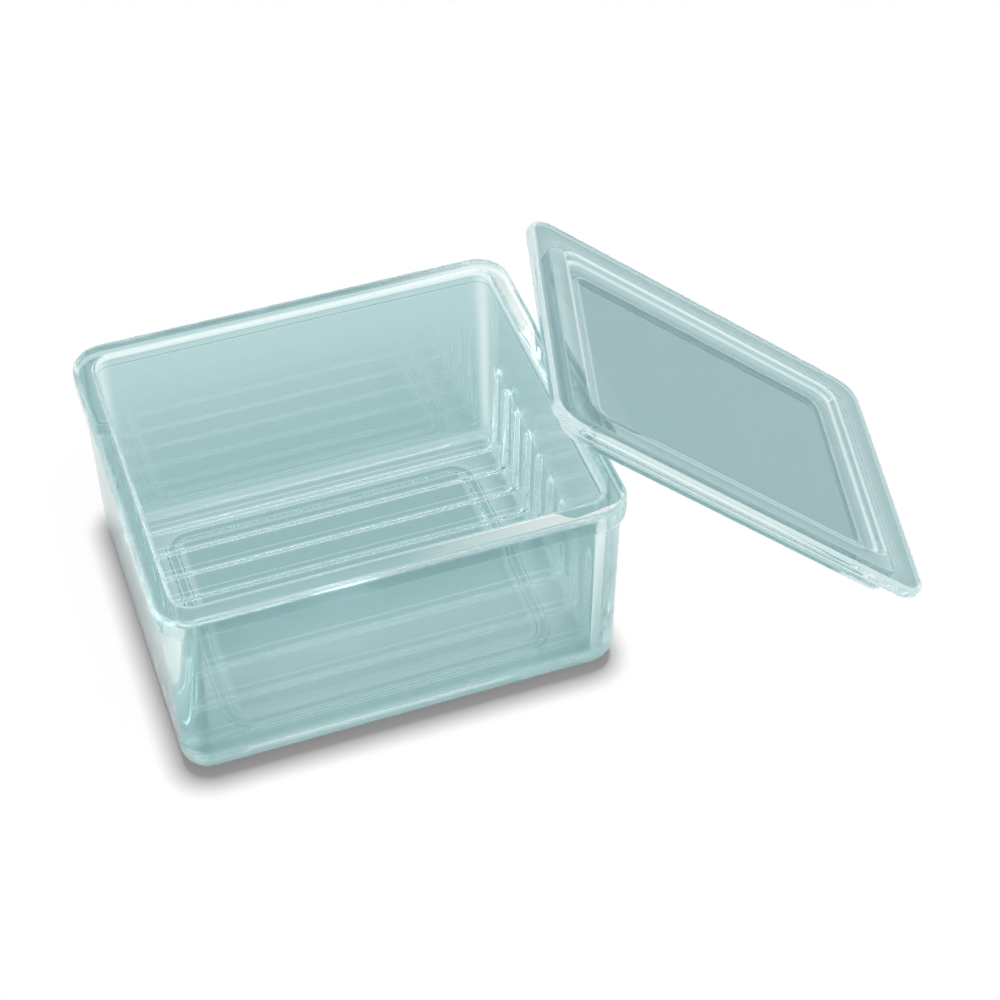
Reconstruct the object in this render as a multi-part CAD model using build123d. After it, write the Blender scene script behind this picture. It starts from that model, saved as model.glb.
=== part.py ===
from build123d import *
from math import cos, hypot, radians, sin
import os

# Ribbed slide staining jar with its lid. Millimetres, +Z up, +X towards the lid, +Y to the back.
# The origin is the middle of the jar's foot on the table.

# Microscope slide that the guides are laid out for
slide_length = 76.0
slide_end_clearance = 0.5
slide_pitch = 6.35
slots = 10

# Jar, outside
jar_height = 44.2
rim_end_wall = 4.15
rim_side_wall = 4.45
rim_corner = 6.3
collar_height = 4.4
collar_overhang = 1.0
collar_lower_round = 0.7
rim_round = 0.8
body_taper = 0.2
bottom_round = 5.0

# Jar, inside
floor_top = 2.4
end_lean = 0.35
side_lean = 3.0
mouth_corner = 3.2
mouth_round = 0.8
floor_corner = 2.2
floor_round = 1.2

# Foot ring under the floor
foot_length = 64.4
foot_width = 49.5
foot_corner = 5.0
foot_band = 2.0
foot_height = 0.5
foot_round = 0.2

# Guide ribs, each a U down one wall, over the floor and up the other wall
rib_width = 2.0
rib_to_side = 3.0
rib_top = 23.9
rib_stand_foot = 1.25
rib_stand_top = 0.8
rib_floor_stand = 0.8
rib_elbow = 1.6
rib_edge_round = 0.35
rib_root = 0.7

# Lid
lid_end_setback = 1.75
lid_side_setback = 0.2
lid_corner = 5.8
flange_thickness = 2.5
flange_round = 0.7
plug_end_clearance = 2.3
plug_side_clearance = 0.6
plug_corner = 4.2
plug_depth = 3.8
plug_round = 0.6
panel_inset = 7.6
panel_depth = 1.3
panel_corner = 3.4
panel_taper = 32.0
hollow_inset = 5.6
hollow_depth = 2.2
hollow_corner = 2.8
hollow_taper = 18.0
pocket_round = 0.4

# How the lid lies: its plug on the jar's right rim, its far corner on the table
lid_tilt = 34.5
lid_turn = -19.25
lid_shift = -2.9
rest_gap = 0.2

# Worked out from the above
floor_length = slide_length + 2 * slide_end_clearance
floor_width = (slots - 2) * slide_pitch + rib_width + 2 * rib_to_side
mouth_length = floor_length + 2 * end_lean
mouth_width = floor_width + 2 * side_lean
rim_length = mouth_length + 2 * rim_end_wall
rim_width = mouth_width + 2 * rim_side_wall
body_length = rim_length - 2 * collar_overhang
body_width = rim_width - 2 * collar_overhang
body_corner = rim_corner - collar_overhang
collar_bottom = jar_height - collar_height
lid_length = rim_length - 2 * lid_end_setback
lid_width = rim_width - 2 * lid_side_setback
plug_length = mouth_length - 2 * plug_end_clearance
plug_width = mouth_width - 2 * plug_side_clearance
lid_top = plug_depth + flange_thickness

# A round stays this share of the wall or corner that it runs out on, and edges are found this closely
round_limit = 0.95
close = 0.01


def rounded(length, width, corner, height):
    """A rounded rectangle lying level at one height."""
    return Plane.XY.offset(height) * RectangleRounded(length, width, corner)


def level_edges(shape, height):
    """The edges of a shape that lie level at one height."""
    return shape.edges().filter_by_position(Axis.Z, height - close, height + close)


def outer_body():
    """The body under the collar, drafted, with its broad round along the bottom."""
    inside_collar = collar_bottom + collar_height / 2
    top = rounded(body_length, body_width, body_corner, inside_collar)
    body = extrude(top, foot_height - inside_collar, taper=body_taper)
    return fillet(level_edges(body, foot_height), min(bottom_round, round_limit * body_corner))


def collar():
    """The thicker band round the mouth."""
    band = extrude(rounded(rim_length, rim_width, rim_corner, collar_bottom), collar_height)
    band = fillet(level_edges(band, jar_height), rim_round)
    return fillet(level_edges(band, collar_bottom), min(collar_lower_round, round_limit * collar_overhang))


def foot_ring():
    """The low ring that the jar stands on."""
    outer = RectangleRounded(foot_length, foot_width, foot_corner)
    inner = RectangleRounded(foot_length - 2 * foot_band, foot_width - 2 * foot_band, foot_corner - foot_band)
    ring = extrude(outer - inner, foot_height + rib_root)
    return fillet(level_edges(ring, 0), foot_round)


def cavity():
    """The space inside: upright end walls, leaning front and back, a rounded floor edge."""
    floor = rounded(floor_length, floor_width, floor_corner, floor_top)
    mouth = rounded(mouth_length, mouth_width, mouth_corner, jar_height)
    space = loft([floor, mouth])
    return fillet(level_edges(space, floor_top), floor_round)


def wall_at(height):
    """How far the inside of an end wall stands from the middle at one height."""
    share = (height - floor_top) / (jar_height - floor_top)
    return floor_length / 2 + share * (mouth_length - floor_length) / 2


def guide_rib():
    """One guide: a U-shaped band with leaning crests, round elbows and arched tops."""
    crest_foot = floor_length / 2 - rib_stand_foot
    crest_top = wall_at(rib_top) - rib_stand_top
    crest_level = floor_top + rib_floor_stand
    root = floor_length / 2 + rib_root
    root_level = floor_top - rib_root
    with BuildSketch(Plane.XZ) as band:
        with BuildLine():
            Polyline(
                (-crest_top, rib_top),
                (-crest_foot, crest_level),
                (crest_foot, crest_level),
                (crest_top, rib_top),
                (root, rib_top),
                (root, root_level),
                (-root, root_level),
                (-root, rib_top),
                close=True,
            )
        make_face()
        elbows = band.vertices().filter_by_position(Axis.Z, crest_level, crest_level)
        fillet(elbows, rib_elbow)
    with BuildSketch(Plane.YZ) as arch:
        straight = rib_top - rib_width / 2 - root_level
        with Locations((0, root_level + straight / 2)):
            Rectangle(rib_width, straight)
        with Locations((0, root_level + straight)):
            Circle(rib_width / 2)
    across = extrude(band.sketch, rib_width / 2, both=True)
    along = extrude(arch.sketch, root, both=True)
    rib = across & along
    crests = [edge for edge in rib.edges() if is_crest(edge, crest_foot, crest_top)]
    return fillet(crests, rib_edge_round)


def is_crest(edge, crest_foot, crest_top):
    """Whether an edge runs along the face of a rib that the slides see."""
    middle = edge @ 0.5
    in_front = abs(middle.X) < crest_top + close
    above_floor = middle.Z > floor_top
    runs_along = abs(middle.Y) > close
    return in_front and above_floor and runs_along


def jar():
    """The jar, one piece: body, collar, foot ring and the ribbed inside."""
    shell = outer_body() + collar() + foot_ring() - cavity()
    mouth_edges = level_edges(shell, jar_height)
    inner_edges = [edge for edge in mouth_edges if is_inner(edge)]
    shell = fillet(inner_edges, mouth_round)
    rib = guide_rib()
    ribs = [Pos(0, (index - (slots - 2) / 2) * slide_pitch, 0) * rib for index in range(slots - 1)]
    return shell + ribs


def is_inner(edge):
    """Whether an edge at the top belongs to the mouth."""
    middle = edge @ 0.5
    return abs(middle.X) < mouth_length / 2 + close and abs(middle.Y) < mouth_width / 2 + close


def lid_flat():
    """The lid lying level, with the underside of its plug at height zero."""
    flange = extrude(rounded(lid_length, lid_width, lid_corner, plug_depth), flange_thickness)
    flange = fillet(level_edges(flange, plug_depth) + level_edges(flange, lid_top), flange_round)
    plug = extrude(rounded(plug_length, plug_width, plug_corner, 0), plug_depth + flange_thickness / 2)
    plug = fillet(level_edges(plug, 0), plug_round)
    panel = panel_pocket()
    hollow = plug_hollow()
    return flange + plug - panel - hollow


def panel_pocket():
    """The sunk panel in the lid's top."""
    mouth = rounded(lid_length - 2 * panel_inset, lid_width - 2 * panel_inset, panel_corner, lid_top)
    pocket = extrude(mouth, -panel_depth, taper=panel_taper)
    return fillet(level_edges(pocket, lid_top - panel_depth), pocket_round)


def plug_hollow():
    """The hollow under the lid that leaves the plug as a raised band."""
    mouth = rounded(plug_length - 2 * hollow_inset, plug_width - 2 * hollow_inset, hollow_corner, 0)
    pocket = extrude(mouth, hollow_depth, taper=hollow_taper)
    return fillet(level_edges(pocket, hollow_depth), pocket_round)


def lid_plane():
    """Where the lid lies: its plug's underside tangent to the rim, its lowest corner on the table."""
    tilt = radians(lid_tilt)
    turn = radians(lid_turn)
    down = Vector(cos(tilt), 0, -sin(tilt))
    level = Vector(0, 1, 0)
    normal = Vector(sin(tilt), 0, cos(tilt))
    long_way = down * cos(turn) + level * sin(turn)
    short_way = level * cos(turn) - down * sin(turn)
    rim_centre = Vector(rim_length / 2 - rim_round, lid_shift, jar_height - rim_round)
    contact = rim_centre + normal * (rim_round + rest_gap)
    flange_reach = reach(lid_length, lid_width, lid_corner, flange_round, long_way, short_way)
    flange_low = (plug_depth + flange_round) * normal.Z - flange_reach
    plug_reach = reach(plug_length, plug_width, plug_corner, plug_round, long_way, short_way)
    plug_low = plug_round * normal.Z - plug_reach
    centre_height = -min(flange_low, plug_low)
    slide_down = (contact.Z - centre_height) / sin(tilt)
    return Plane(origin=contact + down * slide_down, x_dir=long_way, z_dir=normal)


def reach(length, width, corner, edge, long_way, short_way):
    """How far below its middle the lower edge of a tilted rounded plate reaches."""
    along = (length / 2 - corner) * abs(long_way.Z)
    across = (width / 2 - corner) * abs(short_way.Z)
    return along + across + (corner - edge) * hypot(long_way.Z, short_way.Z) + edge


def lid():
    """The lid as it leans on the jar."""
    return lid_plane() * lid_flat()


os.makedirs("parts", exist_ok=True)
export_step(jar(), "parts/jar.step")
export_step(lid(), "parts/lid.step")
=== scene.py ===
from math import cos, hypot, pi, radians, sin

import bpy
import numpy as np
from bpy.props import FloatProperty, FloatVectorProperty, IntProperty, PointerProperty
from mathutils import Matrix, Vector


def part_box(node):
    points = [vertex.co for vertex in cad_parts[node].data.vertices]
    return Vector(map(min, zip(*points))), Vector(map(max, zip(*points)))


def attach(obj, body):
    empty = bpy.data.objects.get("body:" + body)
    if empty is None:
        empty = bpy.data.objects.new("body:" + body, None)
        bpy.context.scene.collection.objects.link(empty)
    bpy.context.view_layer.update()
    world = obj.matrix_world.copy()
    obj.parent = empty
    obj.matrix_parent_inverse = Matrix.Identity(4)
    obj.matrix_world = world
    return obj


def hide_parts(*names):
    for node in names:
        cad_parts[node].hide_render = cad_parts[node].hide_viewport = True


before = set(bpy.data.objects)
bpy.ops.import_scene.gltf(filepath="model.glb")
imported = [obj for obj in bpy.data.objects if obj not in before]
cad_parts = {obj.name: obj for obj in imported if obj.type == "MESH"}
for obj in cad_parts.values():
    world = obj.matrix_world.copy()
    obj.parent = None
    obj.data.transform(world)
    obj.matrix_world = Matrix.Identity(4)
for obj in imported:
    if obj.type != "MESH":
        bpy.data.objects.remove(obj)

bl_info = {
    "name": "Ribbed Slide Staining Jar",
    "version": (1, 0, 0),
    "blender": (4, 5, 0),
    "location": "3D View > Sidebar > Staining Jar",
    "description": "Builds a pressed glass slide staining jar with its leaning lid and a white studio stage",
    "category": "Add Mesh",
}

MM = 0.001
JAR_LOW, JAR_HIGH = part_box("jar")

# Camera: where it stands, and the width of its film
CAMERA_PLACE = Vector((-71.3, -285.4, 332.2)) * MM
FILM_WIDTH = 36.0

# Light runs on this often inside thick glass before it is given up as black
LIGHT_BOUNCES = 96

# How far the rings that hold an edge crisp lie from a round, a broad round and an inner corner
BRACE = 0.4 * MM
WIDE_BRACE = 0.6 * MM
CORNER_BRACE = 0.55 * MM
SLIVER = 0.05 * MM
SMALLEST_CORNER = 0.02 * MM

# Margins that tell which part of the jar a point of its skin belongs to
WALL_MARGIN = 0.4 * MM
SKIN_DEPTH = 0.5 * MM
JUST_CLEAR = 0.1 * MM
ABOVE_CREST = 0.3 * MM
SIDE_CLEAR = 1.0 * MM
ABOVE_TOPS = 2.0 * MM

# The painted highlight grows from nought to one between these two radii
GENTLE_RADIUS = 4.0 * MM
SHARP_RADIUS = 1.2 * MM
SHORTEST_SIDE = 0.02 * MM
SMALLEST_NORMAL = 1e-20

# The front wall's share of the lighter tint, painted light on that wall: at its foot, what it gains up to the
# collar, and its end run-out
FRONT_SHARE_LOW = 0.33
FRONT_SHARE_GAIN = 0.67
FRONT_RUN_OUT = 6.0 * MM


def length_property(name, description, millimetres):
    """A length that the panel shows with its unit."""
    return FloatProperty(
        name=name, description=description, default=millimetres * MM, unit="LENGTH", precision=5
    )


def angle_property(name, description, degrees):
    """An angle that the panel shows in degrees."""
    return FloatProperty(name=name, description=description, default=radians(degrees), subtype="ANGLE")


def colour_property(name, description, colour):
    """A colour that the panel shows as a swatch."""
    return FloatVectorProperty(
        name=name, description=description, default=colour, subtype="COLOR", size=3, min=0.0, max=1.0
    )


def share_property(name, description, value):
    """A plain number from nought to one."""
    return FloatProperty(name=name, description=description, default=value, min=0.0, max=1.0, precision=3)


def number_property(name, description, value):
    """A plain number of any size."""
    return FloatProperty(name=name, description=description, default=value, precision=3)


class JarSizes(bpy.types.PropertyGroup):
    """Sizes of the jar."""

    rim_length: length_property(
        "Rim length", "Outside length of the collar", (JAR_HIGH[0] - JAR_LOW[0]) / MM
    )
    rim_width: length_property(
        "Rim width", "Outside width of the collar", (JAR_HIGH[1] - JAR_LOW[1]) / MM
    )
    height: length_property("Height", "Height of the rim above the table", JAR_HIGH[2] / MM)
    rim_corner: length_property("Rim corner", "Corner radius of the collar", 6.3)
    collar_height: length_property("Collar height", "Height of the thicker band round the mouth", 4.4)
    collar_overhang: length_property("Collar overhang", "How far the collar stands out from the body", 1.0)
    collar_lower_round: length_property("Collar lower round", "Round under the collar", 0.7)
    rim_round: length_property("Rim round", "Round on the rim's outer edge", 0.8)
    body_draft: length_property("Body draft", "How much the body narrows on each side", 0.145)
    bottom_round: length_property("Bottom round", "Broad round along the bottom", 5.0)
    floor_top: length_property("Floor level", "Height of the inside floor", 2.4)
    mouth_length: length_property("Mouth length", "Inside length at the rim", 77.7)
    mouth_width: length_property("Mouth width", "Inside width at the rim", 64.8)
    mouth_corner: length_property("Mouth corner", "Inside corner radius at the rim", 3.2)
    mouth_round: length_property("Mouth round", "Round on the rim's inner edge", 0.8)
    floor_length: length_property("Floor length", "Inside length at the floor", 77.0)
    floor_width: length_property("Floor width", "Inside width at the floor", 58.8)
    floor_corner: length_property("Floor corner", "Inside corner radius at the floor", 2.2)
    floor_round: length_property("Floor round", "Round where the walls meet the floor", 1.2)
    foot_length: length_property("Foot length", "Outside length of the foot ring", 64.4)
    foot_width: length_property("Foot width", "Outside width of the foot ring", 49.5)
    foot_corner: length_property("Foot corner", "Corner radius of the foot ring", 5.0)
    foot_band: length_property("Foot band", "Width of the foot ring's band", 2.0)
    foot_height: length_property("Foot height", "Height of the foot ring", 0.5)
    foot_round: length_property("Foot round", "Round on the foot ring's edges", 0.2)


class RibSizes(bpy.types.PropertyGroup):
    """Sizes of the guide ribs."""

    count: IntProperty(name="Ribs", description="How many guide ribs cross the jar", default=9, min=1)
    pitch: length_property("Rib pitch", "Distance from rib to rib", 6.35)
    width: length_property("Rib width", "Width of one rib", 2.0)
    top: length_property("Rib top", "Height of the ribs' arched tops", 23.9)
    stand_foot: length_property(
        "Stand at the foot", "How far a rib stands in from the wall at its foot", 1.25
    )
    stand_top: length_property("Stand at the top", "How far a rib stands in from the wall at its top", 0.8)
    floor_stand: length_property("Stand on the floor", "How high a rib stands on the floor", 0.8)
    elbow: length_property("Elbow", "Radius where a rib turns from wall to floor", 1.6)


class LidSizes(bpy.types.PropertyGroup):
    """Sizes of the lid and how it lies."""

    end_setback: length_property("End setback", "How far the lid stays inside the rim at its ends", 1.75)
    side_setback: length_property("Side setback", "How far the lid stays inside the rim at its sides", 0.2)
    corner: length_property("Lid corner", "Corner radius of the lid", 5.8)
    thickness: length_property("Flange thickness", "Thickness of the lid's flange", 2.5)
    flange_round: length_property("Flange round", "Round on the flange's edges", 0.7)
    plug_end_clearance: length_property("Plug end clearance", "Room between plug and mouth at the ends", 2.3)
    plug_side_clearance: length_property(
        "Plug side clearance", "Room between plug and mouth at the sides", 0.6
    )
    plug_corner: length_property("Plug corner", "Corner radius of the plug", 4.2)
    plug_depth: length_property("Plug depth", "How far the plug reaches under the flange", 3.8)
    plug_round: length_property("Plug round", "Round on the plug's lower edge", 0.6)
    panel_inset: length_property("Panel inset", "How far the sunk panel lies inside the lid's edge", 7.6)
    panel_depth: length_property("Panel depth", "Depth of the sunk panel", 1.3)
    panel_corner: length_property("Panel corner", "Corner radius of the sunk panel", 3.4)
    panel_slope: length_property("Panel slope", "Run of the panel's sloping edge", 0.81)
    hollow_inset: length_property("Hollow inset", "Width of the plug's band round its hollow", 5.6)
    hollow_depth: length_property("Hollow depth", "Depth of the hollow under the lid", 2.2)
    hollow_corner: length_property("Hollow corner", "Corner radius of the hollow", 2.8)
    hollow_slope: length_property("Hollow slope", "Run of the hollow's sloping edge", 0.715)
    pocket_round: length_property("Pocket round", "Round at the foot of the panel and hollow", 0.4)
    tilt: angle_property("Tilt", "How steeply the lid leans on the jar's rim", 34.5)
    turn: angle_property("Turn", "How far the lid is turned in its own plane", -19.25)
    shift: length_property("Shift", "How far the lid's middle lies along the rim", -2.9)
    rest_gap: length_property("Rest gap", "Gap where the lid rests on the rim", 0.2)


class GlassLook(bpy.types.PropertyGroup):
    """Colour, painted highlights and finish of the pressed glass."""

    tint: colour_property("Tint", "Colour that each face of the jar gives to light", (0.32, 0.52, 0.53))
    # Painted shade: the lid's tint is a darker copy of the jar's glass tint
    lid_shaded_tint: colour_property("Lid tint", "Colour that each face of the lid gives", (0.27, 0.45, 0.47))
    # Painted highlight: the small rounds are tinted lighter than the glass, standing in for bright edge lines
    painted_highlight_tint: colour_property(
        "Edge tint", "Colour of the small rounds, which pass more light", (0.80, 0.94, 0.94)
    )
    # Painted highlight: the upright corners take part of the lighter tint
    painted_corner_highlight: share_property("Corner polish", "How far the upright corners take the edge tint", 0.7)
    # Painted highlight: the collar's outside takes part of the lighter tint
    painted_collar_highlight: share_property("Collar polish", "How far the collar's outside takes the edge tint", 0.6)
    # Painted highlight, weakened: the ribs on the floor take only this share of the lighter tint
    painted_floor_highlight: share_property("Floor polish", "How far the ribs on the floor take the edge tint", 0.7)
    ior: number_property("Index of refraction", "How strongly the glass bends light", 1.5)
    # Painted light: the front wall takes this share of the lighter tint, more towards the collar
    front_painted_light: share_property("Front polish", "How far the front wall takes the edge tint", 0.8)
    wall_ior: number_property(
        "Wall gloss index", "How strongly the long walls' insides and the wall ribs mirror", 3.0
    )
    clearness: share_property("Clearness", "Share of the light that passes through the glass", 1.0)
    roughness: share_property("Roughness", "Mean roughness of the polished faces", 0.015)
    waviness: share_property("Waviness", "Strength of the pressed surface's waves", 0.004)


class StageLook(bpy.types.PropertyGroup):
    """Floor, light and camera."""

    floor_size: length_property("Floor size", "Side of the square floor", 3000.0)
    sky_light: number_property("Sky light", "Strength of the even light from all round", 0.1)
    table_through: share_property("Table through glass", "How far the table stays white through glass", 0.9)
    table_gloss: share_property("Table in gloss", "How far the table stays white in reflections", 0.15)
    key_light: number_property("Key light", "Strength of the main lamp", 2.21)
    front_light: number_property("Front light", "Strength of the broad lamp at the front", 0.67)
    azimuth: angle_property("Camera azimuth", "Heading of the camera", 19.62)
    elevation: angle_property("Camera elevation", "How far the camera looks down", 46.38)
    roll: angle_property("Camera roll", "Roll of the camera", 0.05)
    lens: number_property("Lens", "Focal length in millimetres on a 36 mm film", 81.43)


# --- shapes worked out with numpy ---


def arc(centre_out, centre_up, radius, start, end, steps):
    """Points on a circle in the (outwards, upwards) plane.

    Each point is the centre plus the radius times the cosine and the sine of its angle.
    """
    angle = np.radians(np.linspace(start, end, steps))
    return np.column_stack([centre_out + radius * np.cos(angle), centre_up + radius * np.sin(angle)])


def stations(outline, path):
    """Ring sizes along a path. A ring is the outline grown by the path's outward distance, corner and all."""
    half_x, half_y, corner = outline
    path = np.atleast_2d(path)
    out = path[:, 0]
    grown_corner = np.maximum(corner + out, SMALLEST_CORNER)
    return np.column_stack([half_x + out, half_y + out, grown_corner, path[:, 1]])


def corner_points(rows, sign_x, sign_y, start, steps):
    """One rounded corner of every ring: the corner's centre plus its radius times cosine and sine."""
    half_x, half_y, corner, up = rows.T
    angle = start + np.linspace(0, pi / 2, steps)
    x = sign_x * (half_x - corner)[:, None] + corner[:, None] * np.cos(angle)
    y = sign_y * (half_y - corner)[:, None] + corner[:, None] * np.sin(angle)
    return np.stack([x, y, np.broadcast_to(up[:, None], x.shape)], axis=2)


def side_points(rows, sign_y, shares):
    """Points on the long straight side of every ring, at shares of its straight length.

    They head from +X to -X on the +Y side, and the other way on the -Y side.
    """
    half_x, half_y, corner, up = rows.T
    x = -sign_y * (half_x - corner)[:, None] * shares
    y = np.broadcast_to(sign_y * half_y[:, None], x.shape)
    return np.stack([x, y, np.broadcast_to(up[:, None], x.shape)], axis=2)


def end_points(rows, sign_x, across):
    """Points on the short straight end of every ring, at the given places across, heading to +Y for +X."""
    half_x = rows[:, 0]
    up = rows[:, 3]
    y = np.broadcast_to(sign_x * across, (len(rows), np.shape(across)[-1]))
    x = np.broadcast_to(sign_x * half_x[:, None], y.shape)
    return np.stack([x, y, np.broadcast_to(up[:, None], x.shape)], axis=2)


def ring_grid(rows, across, shares, corner_steps):
    """Rings of points round rounded rectangles, one ring a row, anticlockwise from the foot of the +X end."""
    parts = [
        end_points(rows, 1, across),
        corner_points(rows, 1, 1, 0.0, corner_steps),
        side_points(rows, 1, shares),
        corner_points(rows, -1, 1, pi / 2, corner_steps),
        end_points(rows, -1, across),
        corner_points(rows, -1, -1, pi, corner_steps),
        side_points(rows, -1, shares),
        corner_points(rows, 1, -1, 3 * pi / 2, corner_steps),
    ]
    return np.concatenate(parts, axis=1)


def cap_grid(ring, ends, sides, corner_steps):
    """A flat patch that closes a ring.

    Its rows keep the ends' places across, and its columns keep the sides' places along.
    """
    half = corner_steps // 2
    rows = ends + 2 * (half + 1)
    columns = sides + 2 * (half + 1)
    order = np.roll(np.arange(len(ring)), half + 1)
    east = order[:rows]
    north = order[rows - 1:rows + columns - 1]
    west = order[rows + columns - 2:2 * rows + columns - 2]
    south = np.append(order[2 * rows + columns - 3:], order[0])
    grid = np.zeros((rows, columns), dtype=int)
    grid[:, -1] = east
    grid[-1, ::-1] = north
    grid[::-1, 0] = west
    grid[0, :] = south
    inner = np.arange((rows - 2) * (columns - 2)).reshape(rows - 2, columns - 2) + len(ring)
    grid[1:-1, 1:-1] = inner
    x = np.broadcast_to(ring[south[1:-1], 0][None, :], inner.shape)
    y = np.broadcast_to(ring[east[1:-1], 1][:, None], inner.shape)
    z = np.broadcast_to(ring[east[1:-1], 2][:, None], inner.shape)
    return grid, np.stack([x, y, z], axis=2).reshape(-1, 3)


def quads(grid):
    """Faces of a grid of point numbers, each turned from its row to its column."""
    return np.stack([grid[:-1, :-1], grid[:-1, 1:], grid[1:, 1:], grid[1:, :-1]], axis=2).reshape(-1, 4)


def closed_skin(rings, ends, sides, corner_steps):
    """Joins rings into a closed skin.

    Bands run from ring to ring, a downward patch closes the first and an upward one the last.
    """
    count, around = rings.shape[:2]
    numbers = np.arange(count * around).reshape(count, around)
    band = np.concatenate([numbers, numbers[:, :1]], axis=1)
    low_grid, low_points = cap_grid(rings[0], ends, sides, corner_steps)
    high_grid, high_points = cap_grid(rings[-1], ends, sides, corner_steps)
    low_start = count * around
    high_start = low_start + len(low_points)
    last_ring = numbers[-1, 0]
    low_numbers = np.where(low_grid < around, low_grid, low_grid - around + low_start)
    high_numbers = np.where(high_grid < around, high_grid + last_ring, high_grid - around + high_start)
    points = np.concatenate([rings.reshape(-1, 3), low_points, high_points])
    faces = np.concatenate([quads(band), quads(low_numbers)[:, ::-1], quads(high_numbers)])
    return points, faces


def painted_highlight(points, faces, painted_corner_highlight):
    """How far each point takes the painted highlight tint, a lighter colour laid on as a highlight: nought on
    the flats, one on the small rounds.

    A face's normal is the cross product of its diagonals, and a point's is the sum of its faces', brought to
    length one. The bend along a face's side is the change of the normal divided by the side's length, and a
    point takes the most of its sides. The share is three times the square less twice the cube of where the
    bend lies between one over the gentle radius and one over the sharp one. The broad upright corners get a
    share of their own: twice the product of the normal's two level parts, squared.
    """
    corner_at = points[faces]
    face_normal = np.cross(corner_at[:, 2] - corner_at[:, 0], corner_at[:, 3] - corner_at[:, 1])
    normal = np.zeros_like(points)
    for corner in range(4):
        np.add.at(normal, faces[:, corner], face_normal)
    normal /= np.maximum(np.linalg.norm(normal, axis=1, keepdims=True), SMALLEST_NORMAL)
    bend = np.zeros(len(points))
    for corner in range(4):
        first, second = faces[:, corner], faces[:, (corner + 1) % 4]
        length = np.maximum(np.linalg.norm(points[first] - points[second], axis=1), SHORTEST_SIDE)
        change = np.linalg.norm(normal[first] - normal[second], axis=1) / length
        np.maximum.at(bend, first, change)
        np.maximum.at(bend, second, change)
    gentle = 1 / GENTLE_RADIUS
    sharp = 1 / SHARP_RADIUS
    share = np.clip((bend - gentle) / (sharp - gentle), 0.0, 1.0)
    upright_corner = (2 * normal[:, 0] * normal[:, 1]) ** 2
    return np.maximum(share * share * (3 - 2 * share), painted_corner_highlight * upright_corner)


def glass_piece(name, points, faces, highlight_share, material):
    """A smooth mesh object of quads at the origin, with its painted highlight share kept as an attribute."""
    mesh = bpy.data.meshes.new(name)
    mesh.from_pydata(points.tolist(), [], faces.tolist())
    mesh.attributes.new("painted_highlight", "FLOAT", "POINT").data.foreach_set("value", highlight_share)
    mesh.shade_smooth()
    mesh.materials.append(material)
    piece = bpy.data.objects.new(name, mesh)
    bpy.context.scene.collection.objects.link(piece)
    return piece


# --- the jar ---

CORNER_STEPS = 11
END_SHARE = 0.993
SIDE_SHARES = np.array([-END_SHARE, -0.6, -0.2, 0.2, 0.6, END_SHARE])

# Half of a rib's section: distance from its middle in half widths, and height as a share of its full stand
RIB_SECTION = np.array([
    [1.5, 0.0], [1.2, 0.0], [1.08, 0.03], [1.02, 0.12], [1.0, 0.35], [0.99, 0.62],
    [0.95, 0.8], [0.87, 0.93], [0.76, 0.985], [0.62, 1.0], [0.4, 1.0],
])

# Angles down a rib's arched top, and the share of its stand on the first three of those rings
ARCH_SWING = np.radians([84, 76, 66, 55, 42, 28, 14, 0])
ARCH_STAND = [0.35, 0.72, 0.92]

# Heights of the ring on the plain wall and of those down a rib's straight part, and steps above a round
PLAIN_WALL_HEIGHT = 34.0 * MM
STRAIGHT_HEIGHTS = np.array([20.0, 15.0, 10.0, 7.0]) * MM
STEP_ABOVE = 1.0 * MM
RIB_TIP = 0.03 * MM


def blend(low, high, share):
    """Values between two outlines, at shares from nought to one."""
    share = np.atleast_1d(share)[:, None]
    return np.asarray(low) * (1 - share) + np.asarray(high) * share


def jar_outside(jar):
    """Ring sizes from under the floor, over the foot ring, up the body and collar to the mouth's round."""
    foot = np.array([jar.foot_length / 2, jar.foot_width / 2, jar.foot_corner])
    rim = np.array([jar.rim_length / 2, jar.rim_width / 2, jar.rim_corner])
    body = rim - jar.collar_overhang
    base = body - [jar.body_draft, jar.body_draft, 0.0]
    mouth = np.array([jar.mouth_length / 2, jar.mouth_width / 2, jar.mouth_corner])
    level = jar.foot_height
    small = jar.foot_round
    band = jar.foot_band
    half_brace = CORNER_BRACE / 2
    under = [[-band - 1.0 * MM, level], [-band - CORNER_BRACE, level], [-band, level - half_brace]]
    ring_inner = arc(-band + small, small, small, 180, 270, 4)
    ring_outer = arc(-small, small, small, -90, 0, 4)
    ring_flat = [[-band + small + BRACE, 0.0], [-small - BRACE, 0.0]]
    beside = [[0.0, level - half_brace], [CORNER_BRACE, level], [1.0 * MM, level]]
    bottom = arc(-jar.bottom_round, level + jar.bottom_round, jar.bottom_round, -90, 0, 14)
    flat = [[-jar.bottom_round - WIDE_BRACE, level]]
    collar_bottom = jar.height - jar.collar_height
    neck = [
        [0.0, collar_bottom - WIDE_BRACE],
        [0.0, collar_bottom - CORNER_BRACE],
        [0.07 * MM, collar_bottom - 0.07 * MM],
    ]
    lower = jar.collar_lower_round
    under_collar = [[-lower - SLIVER, collar_bottom]]
    collar = arc(-lower, collar_bottom + lower, lower, -90, 0, 7)
    side = [[0.0, collar_bottom + lower + BRACE], [0.0, jar.height - jar.rim_round - BRACE]]
    rim_edge = arc(-jar.rim_round, jar.height - jar.rim_round, jar.rim_round, 0, 90, 8)
    top = [[-jar.rim_round - BRACE, jar.height]]
    lip_out = [[jar.mouth_round + BRACE, jar.height]]
    lip = arc(jar.mouth_round, jar.height - jar.mouth_round, jar.mouth_round, 90, 180, 8)
    paths = [
        (foot, (under, ring_inner, ring_flat, ring_outer, beside)),
        (base, (flat, bottom)),
        (body, (neck,)),
        (rim, (under_collar, collar, side, rim_edge, top)),
        (mouth, (lip_out, lip)),
    ]
    return np.concatenate([stations(outline, path) for outline, group in paths for path in group])


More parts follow.
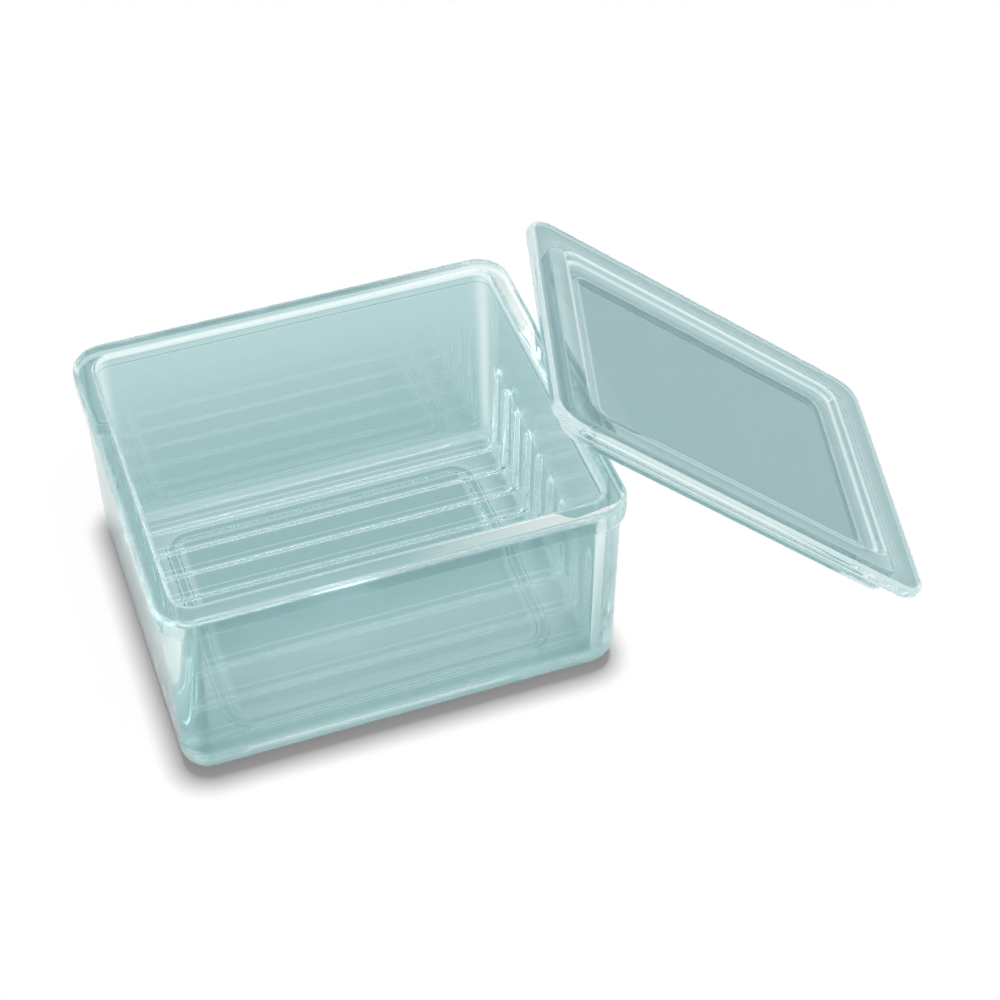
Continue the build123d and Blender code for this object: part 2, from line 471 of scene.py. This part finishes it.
def jar_inside(jar, ribs):
    """Rings down the inner walls and in over the floor, with where the ribs' crests run.

    Columns: half length, half width, corner, height, crest half length, crest height, rib stand share, rib
    width share.
    """
    mouth = np.array([jar.mouth_length / 2, jar.mouth_width / 2, jar.mouth_corner])
    floor = np.array([jar.floor_length / 2, jar.floor_width / 2, jar.floor_corner])
    half = ribs.width / 2
    spring = ribs.top - half
    crest_level = jar.floor_top + ribs.floor_stand
    crest_foot = floor[0] - ribs.stand_foot

    def wall(height):
        share = (np.atleast_1d(height) - jar.floor_top) / (jar.height - jar.floor_top)
        return blend(floor, mouth, share)

    crest_top = wall(ribs.top)[0, 0] - ribs.stand_top

    def crest(height):
        return crest_foot + (height - crest_level) / (ribs.top - crest_level) * (crest_top - crest_foot)

    under_lip = jar.height - jar.mouth_round - BRACE
    plain = np.array([under_lip, PLAIN_WALL_HEIGHT, ribs.top + STEP_ABOVE, ribs.top + RIB_TIP])
    arch = spring + half * np.sin(ARCH_SWING)
    height = np.concatenate([plain, arch, STRAIGHT_HEIGHTS])
    full = np.ones(len(ARCH_SWING) - len(ARCH_STAND))
    straight_full = np.ones(len(STRAIGHT_HEIGHTS))
    stand = np.concatenate([np.zeros(len(plain)), ARCH_STAND, full, straight_full])
    width = np.concatenate([[1.0, 1.0, 1.0, cos(ARCH_SWING[0])], np.cos(ARCH_SWING), straight_full])
    walls = np.column_stack([wall(height), height, crest(height), height, stand, width])

    turn = np.radians(np.linspace(0, 90, 9))
    pull = jar.floor_round * (1 - np.cos(turn))
    round_height = jar.floor_top + jar.floor_round * (1 - np.sin(turn))
    round_rings = wall(jar.floor_top + jar.floor_round * (1 - turn / turn[-1])) - pull[:, None]
    elbow_centre = crest(crest_level + ribs.elbow) - ribs.elbow
    elbow_out = elbow_centre + ribs.elbow * np.cos(turn)
    elbow_up = crest_level + ribs.elbow * (1 - np.sin(turn))
    ones = np.ones(len(turn))
    rounds = np.column_stack([round_rings, round_height, elbow_out, elbow_up, ones, ones])
    above = jar.floor_top + jar.floor_round + STEP_ABOVE
    entry = crest_level + ribs.elbow + WIDE_BRACE
    lead = np.column_stack([wall(above), [above], [crest(entry)], [entry], [1.0], [1.0]])

    end = rounds[-1, :3]
    inward = np.array([
        [end[0] - 0.5 * MM, end[1] - 0.2 * MM, end[2] - 0.1 * MM],
        [elbow_centre - WIDE_BRACE, end[1] - BRACE, end[2] - 0.3 * MM],
    ])
    crest_out = np.array([elbow_centre - 0.2 * MM, elbow_centre - WIDE_BRACE])
    two = np.ones(2)
    floors = np.column_stack([inward, two * jar.floor_top, crest_out, two * crest_level, two, two])
    return np.concatenate([walls, lead, rounds, floors])


def rib_places(ribs):
    """Places across the jar of every rib's section points, and how far each stands towards the crest."""
    offset = np.concatenate([-RIB_SECTION[:, 0], RIB_SECTION[::-1, 0]]) * ribs.width / 2
    share = np.concatenate([RIB_SECTION[:, 1], RIB_SECTION[::-1, 1]])
    middle = (np.arange(ribs.count) - (ribs.count - 1) / 2) * ribs.pitch
    return middle, offset, np.tile(share, ribs.count)


def jar_surface(jar, ribs):
    """The jar's whole skin: rings swept from under the foot over the rim to the floor, with the ribs.

    An inner end point is its wall point plus the rib section's share times the way from the wall to the
    crest, so one sweep makes wall, elbow and floor rib. Near a rib's top its width shrinks as a cosine, which
    arches it.
    """
    outer = jar_outside(jar)
    inner = jar_inside(jar, ribs)
    rows = np.concatenate([outer, inner[:, :4]])
    middle, offset, share = rib_places(ribs)
    narrow = np.concatenate([np.ones(len(outer)), inner[:, 7]])
    across = middle[None, :, None] + narrow[:, None, None] * offset[None, None, :]
    across = across.reshape(len(rows), -1)
    straight = rows[:, 1] - rows[:, 2]
    inside_straight = inner[-1, 1] - inner[-1, 2]
    scale = np.ones(len(rows))
    scale[:len(outer)] = straight[:len(outer)] / inside_straight
    limit = (END_SHARE * straight)[:, None]
    across = np.concatenate([-limit, across * scale[:, None], limit], axis=1)
    points = ring_grid(rows, across, SIDE_SHARES, CORNER_STEPS)
    ends = across.shape[1]
    start = len(outer)
    pull = inner[:, 6:7] * np.concatenate([[0.0], share, [0.0]])[None, :]
    out = pull * (inner[:, 4] - inner[:, 0])[:, None]
    up = pull * (inner[:, 5] - inner[:, 3])[:, None]
    west = ends + 2 * CORNER_STEPS + len(SIDE_SHARES)
    points[start:, :ends, 0] += out
    points[start:, :ends, 2] += up
    points[start:, west:west + ends, 0] -= out[:, ::-1]
    points[start:, west:west + ends, 2] += up[:, ::-1]
    return closed_skin(points, ends, len(SIDE_SHARES), CORNER_STEPS)


def on_long_walls(points, jar, ribs):
    """Which points of the jar's skin lie on the flat inside of its front and back, up to the ribs' tops."""
    x, y, z = np.abs(points).T
    along = x < jar.floor_length / 2 - jar.floor_corner
    across = (y > jar.floor_width / 2 - WALL_MARGIN) & (y < jar.mouth_width / 2 + SKIN_DEPTH)
    return along & across & (z > jar.floor_top + jar.floor_round) & (z < ribs.top + ABOVE_TOPS)


def on_collar(points, jar):
    """Which points of the jar's skin belong to the outside of its collar."""
    x, y, z = np.abs(points).T
    outside = (x > jar.rim_length / 2 - SKIN_DEPTH) | (y > jar.rim_width / 2 - SKIN_DEPTH)
    return outside & (z > jar.height - jar.collar_height)


def front_wall_painted_light(points, jar):
    """How far each point of the front wall's two faces is painted lighter with the highlight tint.

    It is one at the collar, about a third at the foot, and eases to nought at the wall's two ends.
    """
    x, y, z = points.T
    collar_bottom = jar.height - jar.collar_height
    on_wall = (y < WALL_MARGIN - jar.floor_width / 2) & (z < collar_bottom)
    on_wall &= z > jar.floor_top + jar.floor_round
    climb = FRONT_SHARE_LOW + FRONT_SHARE_GAIN * (z - jar.floor_top) / (collar_bottom - jar.floor_top)
    run_out = np.clip((jar.floor_length / 2 - np.abs(x)) / FRONT_RUN_OUT, 0.0, 1.0)
    return run_out * climb * on_wall


def on_wall_ribs(points, jar, ribs):
    """Which points of the jar's skin stand out from the end walls, above the ribs' elbows."""
    x, y, z = np.abs(points).T
    climb = (z - jar.floor_top) / (jar.height - jar.floor_top)
    wall = (jar.floor_length + climb * (jar.mouth_length - jar.floor_length)) / 2
    standing = (x < wall - JUST_CLEAR) & (x > jar.floor_length / 2 - ribs.stand_foot - ribs.elbow)
    above_floor_ribs = z > jar.floor_top + ribs.floor_stand + ABOVE_CREST
    return standing & (y < jar.floor_width / 2 - SIDE_CLEAR) & above_floor_ribs


def on_floor(points, jar, ribs):
    """Which points of the jar's skin belong to its inside floor and the low part of the ribs on it."""
    x, y, z = np.abs(points).T
    inside = (x < jar.floor_length / 2) & (y < jar.floor_width / 2)
    low = z < jar.floor_top + ribs.floor_stand + ABOVE_CREST
    return inside & low & (z > jar.floor_top - JUST_CLEAR)


# --- the lid ---


def lid_outlines(jar, lid):
    """Half length, half width and corner of the lid's flange and of its plug."""
    flange_x = jar.rim_length / 2 - lid.end_setback
    flange_y = jar.rim_width / 2 - lid.side_setback
    plug_x = jar.mouth_length / 2 - lid.plug_end_clearance
    plug_y = jar.mouth_width / 2 - lid.plug_side_clearance
    return np.array([flange_x, flange_y, lid.corner]), np.array([plug_x, plug_y, lid.plug_corner])


def pocket(outline, inset, corner, level, depth, slope, turn):
    """Ring sizes from the lid's face over a pocket's edge, down its slope and round to its floor.

    The steps are distances outwards from the pocket's mouth and down from the face.
    """
    mouth = np.array([outline[0] - inset, outline[1] - inset, corner])
    way = 1 if depth > 0 else -1
    fall = abs(depth)
    steps = np.array([
        [0.5 * MM, 0.0], [0.12 * MM, 0.0], [0.03 * MM, 0.03 * MM], [-0.04 * MM, 0.12 * MM],
        [-slope * 0.5, fall * 0.5], [-slope + 0.06 * MM, fall - turn],
        [-slope - 0.08 * MM, fall - turn * 0.45], [-slope - 0.25 * MM, fall - turn * 0.12],
        [-slope - turn - 0.1 * MM, fall], [-slope - turn - 0.6 * MM, fall],
    ])
    path = np.column_stack([steps[:, 0], level - way * steps[:, 1]])
    rows = stations(mouth, path)
    rows[:, 2] = np.maximum(rows[:, 2], corner)
    return rows


def lid_surface(jar, lid):
    """The lid's skin, lying level: rings from the hollow, round the plug and flange, to the sunk panel."""
    flange, plug = lid_outlines(jar, lid)
    top = lid.plug_depth + lid.thickness
    hollow = pocket(
        plug, lid.hollow_inset, lid.hollow_corner, 0.0, -lid.hollow_depth, lid.hollow_slope, lid.pocket_round
    )
    panel = pocket(
        flange, lid.panel_inset, lid.panel_corner, top, lid.panel_depth, lid.panel_slope, lid.pocket_round
    )
    small = lid.plug_round
    edge = lid.flange_round
    plug_edge = arc(-small, small, small, -90, 0, 7)
    plug_side = [
        [0.0, small + BRACE], [0.0, lid.plug_depth - 0.5 * MM], [0.02 * MM, lid.plug_depth - 0.2 * MM],
        [0.08 * MM, lid.plug_depth - 0.08 * MM], [0.2 * MM, lid.plug_depth], [0.5 * MM, lid.plug_depth],
    ]
    under = [[-edge - BRACE, lid.plug_depth]]
    lower = arc(-edge, lid.plug_depth + edge, edge, -90, 0, 8)
    upper = arc(-edge, top - edge, edge, 0, 90, 8)
    inner = [[-edge - BRACE, top]]
    rows = np.concatenate([
        hollow[::-1], stations(plug, plug_edge), stations(plug, plug_side), stations(flange, under),
        stations(flange, lower), stations(flange, upper), stations(flange, inner), panel,
    ])
    shares = np.concatenate([[-END_SHARE], np.linspace(-0.8, 0.8, 9), [END_SHARE]])
    across = (rows[:, 1] - rows[:, 2])[:, None] * shares
    points = ring_grid(rows, across, SIDE_SHARES, CORNER_STEPS)
    return closed_skin(points, len(shares), len(SIDE_SHARES), CORNER_STEPS)


def reach(outline, edge, long_way, short_way):
    """How far below its middle the lower edge of a tilted rounded plate reaches.

    It is the fall to the corner's centre plus the fall over the corner and the edge's round.
    """
    along = (outline[0] - outline[2]) * abs(long_way.z)
    across = (outline[1] - outline[2]) * abs(short_way.z)
    return along + across + (outline[2] - edge) * hypot(long_way.z, short_way.z) + edge


def lid_place(jar, lid):
    """Where the lid lies: its plug's underside tangent to the rim's round, its lowest corner on the table."""
    down = Vector((cos(lid.tilt), 0, -sin(lid.tilt)))
    level = Vector((0, 1, 0))
    normal = Vector((sin(lid.tilt), 0, cos(lid.tilt)))
    long_way = down * cos(lid.turn) + level * sin(lid.turn)
    short_way = level * cos(lid.turn) - down * sin(lid.turn)
    flange, plug = lid_outlines(jar, lid)
    rim = Vector((jar.rim_length / 2 - jar.rim_round, lid.shift, jar.height - jar.rim_round))
    contact = rim + normal * (jar.rim_round + lid.rest_gap)
    flange_reach = reach(flange, lid.flange_round, long_way, short_way)
    flange_low = (lid.plug_depth + lid.flange_round) * normal.z - flange_reach
    plug_low = lid.plug_round * normal.z - reach(plug, lid.plug_round, long_way, short_way)
    slide = (contact.z + min(flange_low, plug_low)) / sin(lid.tilt)
    place = Matrix((long_way, short_way, normal)).transposed().to_4x4()
    place.translation = contact + down * slide
    return place


def placed(points, place):
    """Points turned by the place's rotation and moved by its offset."""
    matrix = np.array(place)
    return points @ matrix[:3, :3].T + matrix[:3, 3]


# --- glass ---


def pressed_glass(name, tint, look):
    """Tinted pressed glass: slow waves and a fine orange peel in its skin, and faint patches of wiped haze.

    The tint gives way to the painted highlight tint, a lighter colour standing in for bright edges, by the
    highlight share that the mesh holds at each point.
    """
    material = bpy.data.materials.new(name)
    material.use_nodes = True
    nodes = material.node_tree.nodes
    links = material.node_tree.links
    shader = nodes["Principled BSDF"]
    highlight_share = nodes.new("ShaderNodeAttribute")
    highlight_share.attribute_name = "painted_highlight"
    # Painted highlight: the lighter tint is mixed in where the mesh's highlight share is high
    colour = nodes.new("ShaderNodeMix")
    colour.data_type = "RGBA"
    colour.inputs["A"].default_value = (*tint, 1.0)
    colour.inputs["B"].default_value = (*look.painted_highlight_tint, 1.0)
    links.new(highlight_share.outputs["Fac"], colour.inputs["Factor"])
    links.new(colour.outputs["Result"], shader.inputs["Base Color"])
    shader.inputs["Transmission Weight"].default_value = look.clearness
    shader.inputs["IOR"].default_value = look.ior
    place = nodes.new("ShaderNodeTexCoord")

    haze = nodes.new("ShaderNodeTexNoise")
    haze.inputs["Scale"].default_value = 38.0
    haze.inputs["Detail"].default_value = 5.0
    haze.inputs["Roughness"].default_value = 0.6
    spread = nodes.new("ShaderNodeMapRange")
    spread.inputs["From Min"].default_value = 0.35
    spread.inputs["From Max"].default_value = 0.75
    spread.inputs["To Min"].default_value = look.roughness * 0.4
    spread.inputs["To Max"].default_value = look.roughness * 2.0
    links.new(place.outputs["Object"], haze.inputs["Vector"])
    links.new(haze.outputs["Fac"], spread.inputs["Value"])
    links.new(spread.outputs["Result"], shader.inputs["Roughness"])

    waves = nodes.new("ShaderNodeTexNoise")
    waves.inputs["Scale"].default_value = 70.0
    waves.inputs["Detail"].default_value = 1.0
    peel = nodes.new("ShaderNodeTexNoise")
    peel.inputs["Scale"].default_value = 900.0
    peel.inputs["Detail"].default_value = 2.0
    slow = nodes.new("ShaderNodeBump")
    slow.inputs["Strength"].default_value = look.waviness
    slow.inputs["Distance"].default_value = 1.0 * MM
    fine = nodes.new("ShaderNodeBump")
    fine.inputs["Strength"].default_value = look.waviness
    fine.inputs["Distance"].default_value = 0.03 * MM
    links.new(place.outputs["Object"], waves.inputs["Vector"])
    links.new(place.outputs["Object"], peel.inputs["Vector"])
    links.new(waves.outputs["Fac"], slow.inputs["Height"])
    links.new(peel.outputs["Fac"], fine.inputs["Height"])
    links.new(slow.outputs["Normal"], fine.inputs["Normal"])
    links.new(fine.outputs["Normal"], shader.inputs["Normal"])
    return material


def gloss_walls(material, look):
    """Makes the parts of a glass piece that hold the wall gloss mirror what is round them more strongly."""
    nodes = material.node_tree.nodes
    shader = nodes["Principled BSDF"]
    gloss = nodes.new("ShaderNodeAttribute")
    gloss.attribute_name = "wall_gloss"
    material.node_tree.links.new(gloss.outputs["Fac"], shader.inputs["Coat Weight"])
    shader.inputs["Coat IOR"].default_value = look.wall_ior
    shader.inputs["Coat Roughness"].default_value = look.roughness


# --- stage ---


def seen_share(nodes, links):
    """One for what is seen, straight or in glass and gloss, and nought for light that falls on things."""
    path = nodes.new("ShaderNodeLightPath")
    first = nodes.new("ShaderNodeMath")
    first.operation = "MAXIMUM"
    links.new(path.outputs["Is Camera Ray"], first.inputs[0])
    links.new(path.outputs["Is Glossy Ray"], first.inputs[1])
    second = nodes.new("ShaderNodeMath")
    second.operation = "MAXIMUM"
    links.new(first.outputs["Value"], second.inputs[0])
    links.new(path.outputs["Is Transmission Ray"], second.inputs[1])
    return second.outputs["Value"]


def white_surround(stage):
    """A world that looks plain white and lights the scene evenly from all round."""
    world = bpy.data.worlds.new("white_surround")
    world.use_nodes = True
    bpy.context.scene.world = world
    nodes = world.node_tree.nodes
    links = world.node_tree.links
    output = nodes["World Output"]
    light = nodes["Background"]
    light.inputs["Color"].default_value = (1.0, 1.0, 1.0, 1.0)
    light.inputs["Strength"].default_value = stage.sky_light
    white = nodes.new("ShaderNodeBackground")
    white.inputs["Color"].default_value = (1.0, 1.0, 1.0, 1.0)
    white.inputs["Strength"].default_value = 1.0
    mix = nodes.new("ShaderNodeMixShader")
    links.new(seen_share(nodes, links), mix.inputs["Fac"])
    links.new(light.outputs["Background"], mix.inputs[1])
    links.new(white.outputs["Background"], mix.inputs[2])
    links.new(mix.outputs["Shader"], output.inputs["Surface"])


def matt(nodes, grey):
    """A matt grey surface."""
    node = nodes.new("ShaderNodeBsdfDiffuse")
    node.inputs["Color"].default_value = (grey, grey, grey, 1.0)
    return node.outputs["BSDF"]


def mixed(nodes, links, switch, share, base, other):
    """The other surface over the base one by a share, where the switch is on."""
    part = nodes.new("ShaderNodeMath")
    part.operation = "MULTIPLY"
    part.inputs[1].default_value = share
    links.new(switch, part.inputs[0])
    mix = nodes.new("ShaderNodeMixShader")
    links.new(part.outputs["Value"], mix.inputs["Fac"])
    links.new(base, mix.inputs[1])
    links.new(other, mix.inputs[2])
    return mix.outputs["Shader"]


def white_table(stage):
    """A wide matt floor, white where it is seen and a little darker in the light that it throws back."""
    half = stage.floor_size / 2
    level = -0.05 * MM
    corners = [(-half, -half, level), (half, -half, level), (half, half, level), (-half, half, level)]
    mesh = bpy.data.meshes.new("table")
    mesh.from_pydata(corners, [], [(0, 1, 2, 3)])
    table = bpy.data.objects.new("table", mesh)
    bpy.context.scene.collection.objects.link(table)
    material = bpy.data.materials.new("white_table")
    material.use_nodes = True
    nodes = material.node_tree.nodes
    links = material.node_tree.links
    nodes.remove(nodes["Principled BSDF"])
    path = nodes.new("ShaderNodeLightPath")
    lit = matt(nodes, 0.8)
    lit = mixed(nodes, links, path.outputs["Is Camera Ray"], 1.0, lit, matt(nodes, 1.0))
    glow = nodes.new("ShaderNodeEmission").outputs["Emission"]
    lit = mixed(nodes, links, path.outputs["Is Glossy Ray"], stage.table_gloss, lit, glow)
    lit = mixed(nodes, links, path.outputs["Is Transmission Ray"], stage.table_through, lit, glow)
    links.new(lit, nodes["Material Output"].inputs["Surface"])
    mesh.materials.append(material)


def aimed(place, target):
    """A matrix that looks from a place to a target, as a lamp or camera does."""
    way = (Vector(target) - Vector(place)).normalized()
    matrix = way.to_track_quat("-Z", "Y").to_matrix().to_4x4()
    matrix.translation = place
    return matrix


def sun(name, towards, strength, spread):
    """A soft distant lamp that shines from a direction and doesn't show in gloss or glass."""
    lamp = bpy.data.lights.new(name, "SUN")
    lamp.energy = strength
    lamp.angle = radians(spread)
    thing = bpy.data.objects.new(name, lamp)
    thing.matrix_world = aimed(Vector(towards), (0.0, 0.0, 0.0))
    thing.visible_glossy = False
    thing.visible_transmission = False
    bpy.context.scene.collection.objects.link(thing)


def glint(name, place, target, size, power, spread, colour=(1.0, 1.0, 1.0)):
    """An oval lamp aimed at a target, which shows in gloss out to its spread and lights no matt surface."""
    lamp = bpy.data.lights.new(name, "AREA")
    lamp.shape = "ELLIPSE"
    lamp.size, lamp.size_y = size
    lamp.energy = power
    lamp.color = colour
    lamp.spread = radians(spread)
    thing = bpy.data.objects.new(name, lamp)
    thing.matrix_world = aimed(Vector(place), target)
    thing.visible_diffuse = False
    thing.visible_transmission = False
    bpy.context.scene.collection.objects.link(thing)


def camera(stage):
    """The camera, placed by heading, elevation and roll round the jar."""
    eye = bpy.data.cameras.new("camera")
    eye.lens = stage.lens
    eye.sensor_width = FILM_WIDTH
    thing = bpy.data.objects.new("camera", eye)
    az, el = stage.azimuth, stage.elevation
    forward = Vector((sin(az) * cos(el), cos(az) * cos(el), -sin(el)))
    right = forward.cross(Vector((0, 0, 1))).normalized()
    up = right.cross(forward)
    rolled_right = right * cos(stage.roll) + up * sin(stage.roll)
    rolled_up = up * cos(stage.roll) - right * sin(stage.roll)
    matrix = Matrix((rolled_right, rolled_up, -forward)).transposed().to_4x4()
    matrix.translation = CAMERA_PLACE
    thing.matrix_world = matrix
    bpy.context.scene.collection.objects.link(thing)
    bpy.context.scene.camera = thing


# --- operators and panel ---


class STAININGJAR_OT_jar(bpy.types.Operator):
    """Builds the ribbed glass jar"""

    bl_idname = "staining_jar.jar"
    bl_label = "Build Jar"

    def execute(self, context):
        jar = context.scene.jar_sizes
        ribs = context.scene.rib_sizes
        look = context.scene.glass_look
        points, faces = jar_surface(jar, ribs)
        # Painted highlight: the small rounds and upright corners take the lighter tint
        highlight_share = painted_highlight(points, faces, look.painted_corner_highlight)
        # The painted highlight is weakened on the floor and its ribs
        highlight_share[on_floor(points, jar, ribs)] *= look.painted_floor_highlight
        # Painted light: the front wall takes the lighter tint, more towards the collar
        front = look.front_painted_light * front_wall_painted_light(points, jar)
        highlight_share = np.maximum(highlight_share, front)
        wall_ribs = on_wall_ribs(points, jar, ribs)
        # Painted highlight: the ribs on the end walls take the full lighter tint
        highlight_share[wall_ribs] = 1.0
        collar = on_collar(points, jar)
        # Painted highlight: the collar's outside takes at least its share of the lighter tint
        highlight_share[collar] = np.maximum(highlight_share[collar], look.painted_collar_highlight)
        gloss = on_long_walls(points, jar, ribs)
        glass = pressed_glass("jar_glass", look.tint, look)
        gloss_walls(glass, look)
        piece = glass_piece("ribbed_jar", points, faces, highlight_share, glass)
        wall_gloss = piece.data.attributes.new("wall_gloss", "FLOAT", "POINT")
        wall_gloss.data.foreach_set("value", (gloss | wall_ribs) * 1.0)
        piece.visible_diffuse = False
        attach(piece, "root")
        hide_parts("jar")
        return {"FINISHED"}


class STAININGJAR_OT_lid(bpy.types.Operator):
    """Builds the glass lid where it leans on the jar"""

    bl_idname = "staining_jar.lid"
    bl_label = "Build Lid"

    def execute(self, context):
        scene = context.scene
        look = scene.glass_look
        points, faces = lid_surface(scene.jar_sizes, scene.lid_sizes)
        # Painted highlight: the lid's small rounds and corners take the lighter tint
        highlight_share = painted_highlight(points, faces, look.painted_corner_highlight)
        points = placed(points, lid_place(scene.jar_sizes, scene.lid_sizes))
        glass = pressed_glass("lid_glass", look.lid_shaded_tint, look)
        piece = glass_piece("leaning_lid", points, faces, highlight_share, glass)
        piece.visible_shadow = False
        piece.visible_diffuse = False
        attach(piece, "root")
        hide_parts("lid")
        return {"FINISHED"}


class STAININGJAR_OT_stage(bpy.types.Operator):
    """Builds the white table, the lamps and the camera"""

    bl_idname = "staining_jar.stage"
    bl_label = "Build Stage"

    def execute(self, context):
        stage = context.scene.stage_look
        context.scene.view_settings.view_transform = "Standard"
        context.scene.cycles.max_bounces = LIGHT_BOUNCES
        context.scene.cycles.glossy_bounces = LIGHT_BOUNCES
        context.scene.cycles.transmission_bounces = LIGHT_BOUNCES
        white_surround(stage)
        white_table(stage)
        sun("key_sun", (0.012, 0.012, 1.0), stage.key_light, 8.5)
        sun("front_sky", (0.0, -0.35, 1.0), stage.front_light, 40.0)
        peach = (1.0, 0.78, 0.70)
        rim_corner = (0.05, -0.02, 0.044)
        low_middle = (0.0, 0.0, 0.02)
        glint("peach_window", (0.36, 0.68, 0.77), rim_corner, (0.40, 0.40), 0.03, 14.0, peach)
        glint("overhead_strip", (0.18, -0.10, 0.98), low_middle, (0.45, 0.16), 1.0, 180.0)
        camera(stage)
        return {"FINISHED"}


class STAININGJAR_PT_panel(bpy.types.Panel):
    """Lists the sizes, the looks and the build steps"""

    bl_idname = "STAININGJAR_PT_panel"
    bl_label = "Staining Jar"
    bl_space_type = "VIEW_3D"
    bl_region_type = "UI"
    bl_category = "Staining Jar"

    def draw(self, context):
        for group in GROUPS:
            box = self.layout.box()
            settings = getattr(context.scene, group)
            for name in settings.__annotations__:
                box.prop(settings, name)
        for operator in OPERATORS:
            self.layout.operator(operator.bl_idname)


GROUPS = {
    "jar_sizes": JarSizes,
    "rib_sizes": RibSizes,
    "lid_sizes": LidSizes,
    "glass_look": GlassLook,
    "stage_look": StageLook,
}
OPERATORS = (STAININGJAR_OT_jar, STAININGJAR_OT_lid, STAININGJAR_OT_stage)


def register():
    """Adds the settings, the operators and the panel to Blender."""
    for name, group in GROUPS.items():
        bpy.utils.register_class(group)
        setattr(bpy.types.Scene, name, PointerProperty(type=group))
    for kind in (*OPERATORS, STAININGJAR_PT_panel):
        bpy.utils.register_class(kind)


def unregister():
    """Takes them away again."""
    for kind in (STAININGJAR_PT_panel, *reversed(OPERATORS)):
        bpy.utils.unregister_class(kind)
    for name, group in reversed(GROUPS.items()):
        delattr(bpy.types.Scene, name)
        bpy.utils.unregister_class(group)


def main():
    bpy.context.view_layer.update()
    register()
    bpy.ops.staining_jar.jar()
    bpy.ops.staining_jar.lid()
    bpy.ops.staining_jar.stage()


if __name__ == "__main__":
    main()
